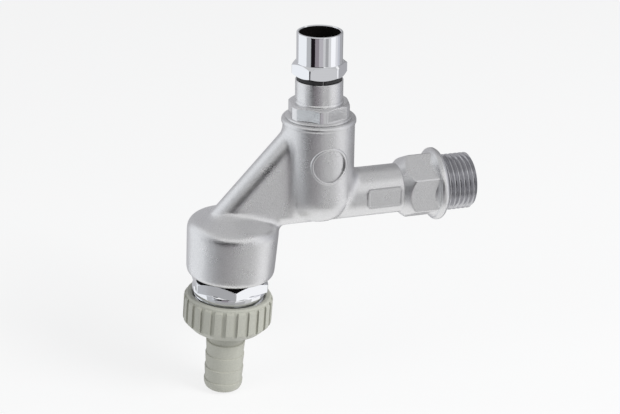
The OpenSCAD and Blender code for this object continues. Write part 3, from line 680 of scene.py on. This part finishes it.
def makePad():
    d = castDetails
    half = d["padLength"] / 2
    low = (d["padRoot"], d["padCentre"] - half, d["padBottom"])
    high = (d["padFace"], d["padCentre"] + half, d["padBottom"] + d["padHeight"])
    pad = blockForm(low, high)
    upright = [e for e in pad.edges if abs((e.verts[0].co - e.verts[1].co).x) > 1 * mm]
    bmesh.ops.bevel(pad, geom=upright, offset=d["padCorner"] * mm, offset_type="OFFSET", segments=5, profile=0.5,
                    affect="EDGES", material=-1, clamp_overlap=True)
    front = [f for f in pad.faces if f.normal.x > 0.9]
    bmesh.ops.inset_region(pad, faces=front, thickness=d["padFrame"] * mm, depth=0)
    front = [f for f in pad.faces if f.normal.x > 0.9 and f.calc_area() > 20 * mm * mm]
    sunk = bmesh.ops.extrude_face_region(pad, geom=front)
    bmesh.ops.translate(pad, vec=(-d["padDepth"] * mm, 0, 0), verts=movedVerts(sunk))
    bmesh.ops.delete(pad, geom=front, context="FACES")
    piece = toPiece(pad, "tubePad")
    softenEdges(piece, 0.22, 35)
    return finishPiece(piece, "castChrome", "root")


def makeInletHex():
    d = castDetails
    end = d["hexEnd"]
    start = d["hexStart"]
    corner = d["hexCorner"]
    piece = toPiece(hexBar(d["hexFlats"], end, start, d["hexTurn"]), "inletHexagon")
    cone = turnedForm([(0, end - 0.01), (casting["tubeRadius"], end - 0.01), (corner, end + d["hexChamfer"]),
                       (corner, start + 0.1), (0, start + 0.1)])
    combine(piece, toPiece(cone, "hexagon cone"), "INTERSECT")
    softenEdges(piece, 0.5, 12, 4)
    piece.data.transform(inletAxis)
    cutOut(piece, inletWay(-30))
    return finishPiece(piece, "castChrome", "root", angle=50)


def makeCollar():
    d = castDetails
    bore = ways["inletRadius"]
    r = d["collarRadius"]
    rounding = d["collarRound"]
    flare = d["flareRadius"]
    back = d["collarBack"]
    outline = [(bore, back), (flare, back), (flare + 0.35, back + 0.4), (flare + 0.95, back + 1.4)]
    outline += arc(r - rounding, -1.65, rounding, -80, 10, 8)
    outline += [(r - 0.05, -0.95), (r - 0.6, -0.2), (r - 0.9, 0), (bore, 0)]
    piece = toPiece(turnedForm(outline, closed=True), "inletCollar", inletAxis)
    return finishPiece(piece, "castChrome", "root", angle=40)


def makeInletThread():
    r = castDetails["threadRadius"]
    end = castDetails["threadEnd"]
    bore = ways["inletRadius"]
    piece = toPiece(threadForm(r, -1.0, 13.0), "inletThread")
    crest = r - 0.0075
    root = castDetails["threadRoot"]
    envelope = turnedForm([(0, -0.5), (root, -0.5), (root, 0.55), (crest, 1.0), (crest, end - 0.6),
                           (root - 0.5, end), (0, end)])
    combine(piece, toPiece(envelope, "thread envelope"), "INTERSECT")
    way = turnedForm([(0, -2), (bore, -2), (bore, end - 0.4), (bore + 0.4, end), (bore + 0.4, 13), (0, 13)])
    cutOut(piece, toPiece(way, "inlet way"))
    piece.data.transform(inletAxis)
    # the thread takes the darker finish with its painted groove shade
    return finishPiece(piece, "shadedThreadChrome", "root")


for make in (makeRim, makeBadgeEdge, makePad, makeInletHex, makeCollar, makeInletThread):
    make()
print("casting details made")


# headpart, black ring and key sleeve

head = {
    "bottom": 20.4,
    "threadRadius": 10.47,
    "sealGroove": 9.38,
    "sealLow": 28.99,
    "sealHigh": 30.81,
    "flangeRadius": 12.0,
    "flangeHeight": 31.22,
    "hexFlats": 20.8,
    "hexCorner": 22.5,
    "hexTurn": -8,
    "hexBottom": 31.9,
    "hexTop": 37.0,
    "neckRadius": 8.55,
    "neckTop": 45.2,
    "spigotRadius": 6.95,
    "spigotTop": 49.4,
    "socketFlats": 13.14,
    "stemRadius": 5.07,
    "stemShoulder": 6.37,
    "stemShoulderTop": 35.15,
    "stemBottom": 31.6,
}


def makeBonnet():
    h = head
    thread = h["threadRadius"]
    flange = h["flangeRadius"]
    low = h["flangeHeight"]
    neck = h["neckRadius"]
    spigot = h["spigotRadius"]
    piece = hexForm(h["hexFlats"], h["hexBottom"], h["hexTop"], h["hexTurn"], h["hexCorner"], 0, 1, "headPart")
    softenEdges(piece, 0.22, 25)
    outline = [(0, h["bottom"]), (thread - 0.37, h["bottom"]), (thread, h["bottom"] + 0.4), (thread, h["sealLow"]),
               (h["sealGroove"], h["sealLow"]), (h["sealGroove"], h["sealHigh"]), (thread, h["sealHigh"]),
               (thread, low), (flange - 0.1, low), (flange, low + 0.13), (flange, low + 0.38),
               (flange - 0.2, low + 0.63), (flange - 0.7, low + 0.88), (neck + 0.35, low + 0.88),
               (neck + 0.35, h["hexTop"] - 0.4), (neck + 0.2, h["hexTop"] + 0.4), (neck, h["hexTop"] + 0.7),
               (neck, h["neckTop"] - 0.25), (neck - 0.25, h["neckTop"]), (spigot, h["neckTop"]),
               (spigot, h["spigotTop"] - 0.2), (spigot - 0.2, h["spigotTop"]), (0, h["spigotTop"])]
    combine(piece, toPiece(turnedForm(outline), "head core"), "UNION")
    socket = hexBar(h["socketFlats"], h["bottom"] - 1, h["hexBottom"], h["hexTurn"])
    past = h["spigotTop"] + 1
    bore = turnedForm([(0, h["stemBottom"]), (h["stemShoulder"], h["stemBottom"]),
                       (h["stemShoulder"], h["stemShoulderTop"]), (h["stemRadius"], h["stemShoulderTop"]),
                       (h["stemRadius"], past), (0, past)])
    cutOut(piece, toPiece(socket, "carrier socket"), toPiece(bore, "stem bore"))
    piece.data.transform(barrelAxis)
    finishPiece(piece, "headChrome", "root", "bonnet")

    def isFacet(face):
        place = face.center - barrelAxis.translation
        upright = abs(face.normal.z) < 0.1
        inHex = (h["hexBottom"] + 0.4) * mm < place.z < (h["hexTop"] - 0.1) * mm
        return upright and inHex and place.xy.length > (h["neckRadius"] + 0.65) * mm

    return refinish(piece, "facetChrome", isFacet)


ring = {
    "radius": 8.15,
    "hole": 7.0,
    "middle": 46.0,
    "half": 0.76,
    "slitWidth": 0.6,
    "slitTurn": -6,
}


def makeNeckRing():
    g = ring
    r = g["radius"]
    upper = [(g["hole"], g["half"]), (r - 0.3, g["half"]), (r - 0.05, 0.55), (r, 0.3)]
    outline = [(x, g["middle"] - z) for x, z in upper] + [(x, g["middle"] + z) for x, z in reversed(upper)]
    piece = toPiece(turnedForm(outline, closed=True), "neckRing")
    slit = blockForm((0, -g["slitWidth"] / 2, 44), (10, g["slitWidth"] / 2, 48))
    cutOut(piece, toPiece(turnForm(slit, g["slitTurn"]), "ring slit"))
    piece.data.transform(barrelAxis)
    return finishPiece(piece, "rubber", "root", "neck_ring")


sleeve = {
    "radius": 8.2,
    "bore": 7.3,
    "threadBore": 7.0,
    "boreStart": 50.0,
    "top": 62.5,
    "lip": 0.35,
    "hexFlats": 17.4,
    "hexTurn": 23,
    "hexBottom": 46.8,
    "hexTop": 51.7,
}


def makeKeySleeve():
    s = sleeve
    r = s["radius"]
    bore = s["bore"]
    top = s["top"]
    foot = s["hexTop"]
    corner = s["hexFlats"] / math.sqrt(3) * 2 - 0.3
    piece = hexForm(s["hexFlats"], s["hexBottom"], foot, s["hexTurn"], corner, 1, 1, "keySleeve")
    softenEdges(piece, 0.18, 25)
    root = s["hexBottom"] + 0.4
    outline = [(0, root), (r - 0.4, root), (r - 0.4, foot - 0.7), (r + 0.25, foot - 0.3), (r + 0.06, foot + 0.05),
               (r, foot + 0.3)] + arc(r - s["lip"], top - s["lip"], s["lip"], 0, 90, 5) + [(0, top)]
    combine(piece, toPiece(turnedForm(outline), "sleeve tube"), "UNION")
    low = s["hexBottom"] - 0.8
    hollow = turnedForm([(0, low), (s["threadBore"], low), (s["threadBore"], s["boreStart"]), (bore, s["boreStart"]),
                         (bore, top - 0.25), (bore + 0.25, top), (bore + 0.25, top + 0.5), (0, top + 0.5)])
    cutOut(piece, toPiece(hollow, "sleeve bore"))
    finishPiece(piece, "mirrorChrome", "root", "key_sleeve")
    piece.data.transform(barrelAxis)

    # painted shade: the sleeve's inside walls get the near-black finish for the shade in the tube
    def isInside(face):
        out = (face.center - barrelAxis.translation).xy
        inwards = face.normal.xy.dot(out) < 0 and abs(face.normal.z) < 0.5
        return inwards and face.center.z < (top - 0.3) * mm and out.length < (bore + 0.1) * mm

    return refinish(piece, "boreShade", isInside)


for make in (makeBonnet, makeNeckRing, makeKeySleeve):
    make()
print("head made")


# vacuum breaker under the cup

breaker = {
    "hexFlats": 26.2,
    "hexTurn": -6,
    "hexBottom": -31.3,
    "hexTop": -26.9,
    "neckRadius": 11.9,
    "cupThreadRadius": 13.0,
    "cupThreadBottom": -24.7,
    "top": -17.9,
    "collarRadius": 13.65,
    "collarBottom": -32.85,
    "reliefRadius": 12.4,
    "shankBottom": -36.0,
    "threadRadius": 13.15,
    "threadTop": -34.7,
    "bottom": -42.4,
    "boreRadius": 8.5,
    "wideBoreRadius": 10,
    "wideBoreStart": -36,
    "airHoles": 8,
    "airHoleRadius": 0.8,
    "airHoleHeight": -25.8,
}


def breakerShank():
    v = breaker
    c = v["collarRadius"]
    low = v["hexBottom"]
    neck = v["neckRadius"]
    wide = v["cupThreadRadius"]
    under = v["collarBottom"]
    relief = v["reliefRadius"]
    foot = v["shankBottom"]
    top = v["top"]
    outline = [(0, foot), (relief, foot), (relief, under - 1.55), (c - 0.6, under - 1.25), (c - 0.6, under - 0.4),
               (c - 0.25, under - 0.2), (c, under), (c, low - 0.45), (c - 0.12, low - 0.1), (c - 0.5, low + 0.3),
               (neck, low + 0.7), (neck, v["cupThreadBottom"]), (wide, v["cupThreadBottom"]), (wide, top - 0.4),
               (wide - 0.4, top), (0, top)]
    return turnedForm(outline)


def hoseThread():
    v = breaker
    r = v["threadRadius"]
    top = v["threadTop"]
    low = v["bottom"]
    thread = toPiece(threadForm(r, -44.0, -34.0), "hose thread")
    envelope = turnedForm([(0, low), (r - 0.85, low), (r - 0.01, low + 0.6), (r - 0.01, top - 0.5), (r - 0.65, top),
                           (0, top)])
    return combine(thread, toPiece(envelope, "thread envelope"), "INTERSECT")


def makeVentBody():
    v = breaker
    corner = v["hexFlats"] / math.sqrt(3) * 2 - 0.3
    piece = hexForm(v["hexFlats"], v["hexBottom"], v["hexTop"], v["hexTurn"], corner, 0, 1, "ventBody")
    softenEdges(piece, 0.2, 25)
    combine(piece, toPiece(breakerShank(), "breaker shank"), "UNION")
    combine(piece, hoseThread(), "UNION")
    narrow = v["boreRadius"]
    wide = v["wideBoreRadius"]
    step = v["wideBoreStart"]
    bore = turnedForm([(0, -44), (narrow, -44), (narrow, step), (wide, step), (wide, -17), (0, -17)])
    cutOut(piece, toPiece(bore, "breaker bore"))
    across = Matrix.Translation((0, 0, v["airHoleHeight"] * mm)) @ Matrix.Rotation(math.pi / 2, 4, "Y")
    for i in range(v["airHoles"]):
        turn = Matrix.Rotation(2 * math.pi * i / v["airHoles"], 4, "Z")
        cutOut(piece, toPiece(barForm(v["airHoleRadius"], 9, 15, 24), "air hole", turn @ across))
    piece.data.transform(outletAxis)
    return finishPiece(piece, "mirrorChrome", "root", "vent_body")


makeVentBody()
print("vacuum breaker made")


# plastic hose union

nut = {
    "ribs": 24,
    "turn": -4,
    "ribRadius": 16.4,
    "coreRadius": 15.6,
    "grooveWidth": 1.6,
    "grooveHeight": 11.6,
    "grooveMiddle": -41.4,
    "bottom": -48.2,
    "floor": -46.45,
    "top": -34.6,
    "hole": 7.57,
    "bore": 13.22,
}


def nutOutline():
    n = nut
    rib = n["ribRadius"]
    core = n["coreRadius"]
    low = n["bottom"]
    top = n["top"]
    outline = [(n["hole"], low), (12.9, low), (13.5, low + 0.2), (rib - 0.12, low + 3.1), (rib, low + 3.5),
               (rib, top - 1.8), (rib - 0.15, top - 1.45), (rib - 0.55, top - 1.1), (core, top - 0.98)]
    outline += arc(core - 0.7, top - 0.7, 0.7, 0, 90, 5)
    outline += [(n["bore"] + 0.7, top), (n["bore"], top - 0.6), (n["bore"], n["floor"]), (n["hole"], n["floor"])]
    return outline


def makeNut():
    n = nut
    piece = toPiece(turnedForm(nutOutline(), 192, closed=True), "couplingNut")
    grooves = bmesh.new()
    out = Matrix.Translation(((n["coreRadius"] + 1.5) * mm, 0, n["grooveMiddle"] * mm))
    size = Matrix.Diagonal((3.0 * mm, n["grooveWidth"] * mm, n["grooveHeight"] * mm, 1))
    for i in range(n["ribs"]):
        turn = Matrix.Rotation(math.radians(n["turn"] + 360 * i / n["ribs"]), 4, "Z")
        bmesh.ops.create_cube(grooves, size=1, matrix=turn @ out @ size)
    cutOut(piece, toPiece(grooves, "rib grooves"))
    softenEdges(piece, 0.36, 28, 3)
    piece.data.transform(outletAxis)
    return finishPiece(piece, "unionPlastic", "nut", "coupling_nut", 40)


tail = {
    "bore": 5.2,
    "flangeRadius": 11.82,
    "flangeTop": -44.05,
    "flangeBottom": -46.4,
    "journalRadius": 7.5,
    "journalBottom": -47.9,
    "neckRadius": 6.65,
    "barbRadius": 7.275,
    "barbDepth": 0.33,
    "barbs": 3,
    "barbStart": -53.9,
    "barbPitch": 5.35,
    "endRadius": 6.0,
    "end": -73.45,
}


def tailOutline():
    t = tail
    r = t["barbRadius"]
    flange = t["flangeRadius"]
    journal = t["journalRadius"]
    neck = t["neckRadius"]
    nose = t["endRadius"]
    low = t["flangeBottom"]
    outline = [(t["bore"], t["flangeTop"]), (flange - 0.12, t["flangeTop"]), (flange, t["flangeTop"] - 0.15),
               (flange, low + 0.15), (flange - 0.12, low), (journal, low), (journal, t["journalBottom"]),
               (journal - 0.3, t["journalBottom"] - 0.6), (neck + 0.1, t["journalBottom"] - 1.0),
               (neck, t["journalBottom"] - 1.5), (neck, t["barbStart"] + 0.2), (neck + 0.07, t["barbStart"] + 0.04)]
    for i in range(t["barbs"] + 1):
        z = t["barbStart"] - i * t["barbPitch"]
        outline += [(r - 0.13, z - 0.02), (r, z - 0.16)]
        if i < t["barbs"]:
            foot = r - t["barbDepth"]
            outline += [(r, z - 0.55), (foot, z - t["barbPitch"] + 0.25), (foot, z - t["barbPitch"] + 0.05)]
    outline.append((r, z - 0.5))
    for turn in (20, 40, 60, 78):
        across = math.cos(math.radians(turn))
        down = math.sin(math.radians(turn))
        outline.append((nose + (r - nose) * across, z - 0.5 - 3.0 * down))
    return outline + [(nose, t["end"]), (nose - 0.5, t["end"]), (t["bore"], t["end"] + 0.3)]


def makeTail():
    piece = toPiece(turnedForm(tailOutline(), closed=True), "hoseTail", outletAxis)
    return finishPiece(piece, "unionPlastic", "tail", "hose_tail", 40)


makeNut()
makeTail()
print("hose union made")


# CAD nodes that keep their own shape get their finish

nodeFinishes = {
    "brass": ["spindle", "valve_carrier", "washer_screw"],
    "rubber": ["bonnet_seal", "spindle_seal_lower", "spindle_seal_upper", "valve_washer", "check_gasket",
               "poppet_seal", "vent_diaphragm", "hose_gasket"],
    "springSteel": ["spindle_clip", "check_spring"],
    "naturalPlastic": ["slip_washer", "check_housing", "check_guide", "check_poppet", "vent_insert"],
}
for finish, names in nodeFinishes.items():
    for name in names:
        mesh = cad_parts[name].data
        mesh.materials.clear()
        mesh.materials.append(finishes[finish])
print("node finishes set")


# camera, light and floor

camera = {
    "lens": 87.1,
    "place": (0.480, -0.198, 0.216),
    "right": (0.2912, 0.9566, 0.0102),
    "up": (-0.3865, 0.1079, 0.9160),
    "back": (0.8751, -0.2707, 0.4012),
}


def makeCamera():
    data = bpy.data.cameras.new("camera")
    data.lens = camera["lens"]
    data.sensor_width = 36
    data.clip_start = 0.01
    data.clip_end = 20
    eye = bpy.data.objects.new("camera", data)
    bpy.context.scene.collection.objects.link(eye)
    turn = Matrix((camera["right"], camera["up"], camera["back"])).transposed().to_4x4()
    eye.matrix_world = Matrix.Translation(camera["place"]) @ turn
    bpy.context.scene.camera = eye


stageMiddle = (0, -0.05, 0)
cardRadius = 0.45
facetRadius = 0.44
ceilingHeight = 0.62

# cards round the tap that only its reflections see: name, degrees round from +X, degrees up, colour
cards = [
    ("back left", -200, -145, -48, 60, (0.55, 0.55, 0.57)),
    ("left softbox", -145, -84, -48, 48, (0.98, 1.0, 1.03)),
    ("left edge", -84, -60, -48, 48, (0.52, 0.53, 0.55)),
    ("dark flag", -60, -39, -19, 26, (0.012, 0.009, 0.012)),
    ("under flag", -60, -39, -48, -19, (0.43, 0.43, 0.44)),
    ("dark room", -39, 3, -7, 24, (0.03, 0.03, 0.032)),
    ("violet strip", -39, -20, -22, -7, (0.3, 0.27, 0.3)),
    ("middle strip", -20, 0, -22, -7, (0.52, 0.5, 0.53)),
    ("front floor", -39, 0, -48, -22, (0.42, 0.42, 0.42)),
    ("light strip", 0, 12, -19, -7, (0.66, 0.66, 0.67)),
    ("grey line", 12, 27, -19, 14, (0.42, 0.42, 0.43)),
    ("front band", 0, 32, -25, -19, (0.9, 0.9, 0.9)),
    ("front low", 0, 32, -48, -25, (0.47, 0.47, 0.47)),
    ("right grey", 27, 40, -19, 40, (0.72, 0.72, 0.73)),
    ("right low", 32, 56, -48, -19, (0.66, 0.66, 0.66)),
    ("right softbox", 40, 67, -19, 46, (1.08, 1.08, 1.1)),
    ("right low softbox", 56, 98, -48, -19, (1.05, 1.05, 1.06)),
    ("right edge", 67, 82, -19, 46, (0.8, 0.8, 0.83)),
    ("right fall", 82, 100, -19, 46, (0.62, 0.63, 0.68)),
    ("right back", 98, 125, -48, 46, (0.44, 0.44, 0.46)),
    ("back card", 125, 160, -48, 60, (0.34, 0.34, 0.35)),
]

# narrow cards in front of them, for the two near facets of the headpart's hexagon
facetCards = [
    ("left facet strip", -67, -51, -17.3, -14.5, (0.88, 0.92, 0.96)),
    ("right facet strip", 52, 69, -17.3, -14.5, (0.4, 0.4, 0.41)),
]


# name, place, diameter, power
lamps = [
    ("key lamp", (0.6, 0.55, 0.6), 0.5, 8),
    ("fill lamp", (0.25, -0.85, 0.5), 0.6, 2),
]


def flatEmission(name, colour, strength):
    material = bpy.data.materials.new(name)
    material.use_nodes = True
    tree = material.node_tree
    tree.nodes.clear()
    out = tree.nodes.new("ShaderNodeOutputMaterial")
    glow = addNode(tree, "ShaderNodeEmission", Color=(*colour, 1), Strength=strength)
    tree.links.new(glow.outputs[0], out.inputs["Surface"])
    material.cycles.emission_sampling = "NONE"
    return material


def placeCard(card, name, colour):
    piece = toPiece(card, name)
    strength = max(colour)
    piece.data.materials.append(flatEmission(name, [part / strength for part in colour], strength))
    piece.visible_camera = False
    piece.visible_diffuse = False
    piece.visible_shadow = False
    piece.visible_transmission = False
    piece.visible_volume_scatter = False


def makeCard(name, fromTurn, toTurn, low, high, colour, radius):
    card = bmesh.new()
    start = math.radians(fromTurn)
    heights = [math.tan(math.radians(low + (high - low) * i / 4)) * radius for i in range(5)]
    x = radius * math.cos(start)
    y = radius * math.sin(start) + stageMiddle[1]
    verts = [card.verts.new((x, y, height)) for height in heights]
    edges = [card.edges.new(pair) for pair in zip(verts, verts[1:])]
    bmesh.ops.spin(card, geom=verts + edges, cent=stageMiddle, axis=(0, 0, 1), dvec=(0, 0, 0),
                   angle=math.radians(toTurn - fromTurn), steps=12, use_merge=False, use_normal_flip=False,
                   use_duplicate=False)
    placeCard(card, name, colour)


def makeCeiling():
    disc = bmesh.new()
    place = Matrix.Translation((0, stageMiddle[1], ceilingHeight))
    bmesh.ops.create_circle(disc, cap_ends=True, segments=64, radius=0.47, matrix=place)
    placeCard(disc, "ceiling card", (0.6138, 0.6138, 0.62))


def makeLamp(name, place, size, power):
    data = bpy.data.lights.new(name, "AREA")
    data.shape = "DISK"
    data.size = size
    data.energy = power
    lamp = bpy.data.objects.new(name, data)
    bpy.context.scene.collection.objects.link(lamp)
    way = Vector(stageMiddle) - Vector(place)
    lamp.matrix_world = Matrix.Translation(place) @ way.to_track_quat("-Z", "Y").to_matrix().to_4x4()
    lamp.visible_glossy = False


def seenDirectly(tree, operation, **values):
    # 1 for rays from the camera, off a mirror or through glass, and 0 for soft light
    path = tree.nodes.new("ShaderNodeLightPath")
    seen = addNode(tree, "ShaderNodeMath", operation=operation, **values)
    through = addNode(tree, "ShaderNodeMath", operation=operation, **values)
    tree.links.new(path.outputs["Is Camera Ray"], seen.inputs[0])
    tree.links.new(path.outputs["Is Glossy Ray"], seen.inputs[1])
    tree.links.new(seen.outputs[0], through.inputs[0])
    tree.links.new(path.outputs["Is Transmission Ray"], through.inputs[1])
    return through.outputs[0]


def mixInto(tree, out, share, first, second):
    mix = tree.nodes.new("ShaderNodeMixShader")
    tree.links.new(share, mix.inputs[0])
    tree.links.new(first.outputs[0], mix.inputs[1])
    tree.links.new(second.outputs[0], mix.inputs[2])
    tree.links.new(mix.outputs[0], out.inputs["Surface"])


def makeWorld():
    # white where it is looked at, dimmer as a light
    world = bpy.data.worlds.new("studio")
    bpy.context.scene.world = world
    world.use_nodes = True
    tree = world.node_tree
    tree.nodes.clear()
    out = tree.nodes.new("ShaderNodeOutputWorld")
    soft = addNode(tree, "ShaderNodeBackground", Color=(0.93, 0.96, 1.0, 1), Strength=0.36)
    white = addNode(tree, "ShaderNodeBackground", Color=(1, 1, 1, 1), Strength=1.0)
    mixInto(tree, out, seenDirectly(tree, "ADD", use_clamp=True), soft, white)


def makeFloor():
    disc = bmesh.new()
    place = Matrix.Translation((0, stageMiddle[1], cadBox[0][2] - 0.0004))
    bmesh.ops.create_circle(disc, cap_ends=True, segments=96, radius=3.0, matrix=place)
    floor = toPiece(disc, "floor")
    material = bpy.data.materials.new("pale floor")
    material.use_nodes = True
    tree = material.node_tree
    tree.nodes.clear()
    out = tree.nodes.new("ShaderNodeOutputMaterial")
    matt = addNode(tree, "ShaderNodeBsdfDiffuse", Color=(0.9, 0.9, 0.9, 1))
    glow = addNode(tree, "ShaderNodeEmission", Color=(1, 1, 1, 1), Strength=1.0)
    share = addNode(tree, "ShaderNodeMath", operation="MULTIPLY")
    share.inputs[1].default_value = 0.8  # the rest keeps the tap's soft shadow
    tree.links.new(seenDirectly(tree, "MAXIMUM"), share.inputs[0])
    mixInto(tree, out, share.outputs[0], matt, glow)
    floor.data.materials.append(material)
    floor.visible_glossy = False


makeCamera()
for card in cards:
    makeCard(*card, cardRadius)
for card in facetCards:
    makeCard(*card, facetRadius)
makeCeiling()
for lamp in lamps:
    makeLamp(*lamp)
makeWorld()
makeFloor()
bpy.context.scene.view_settings.view_transform = "Standard"
print("camera, light and floor made")
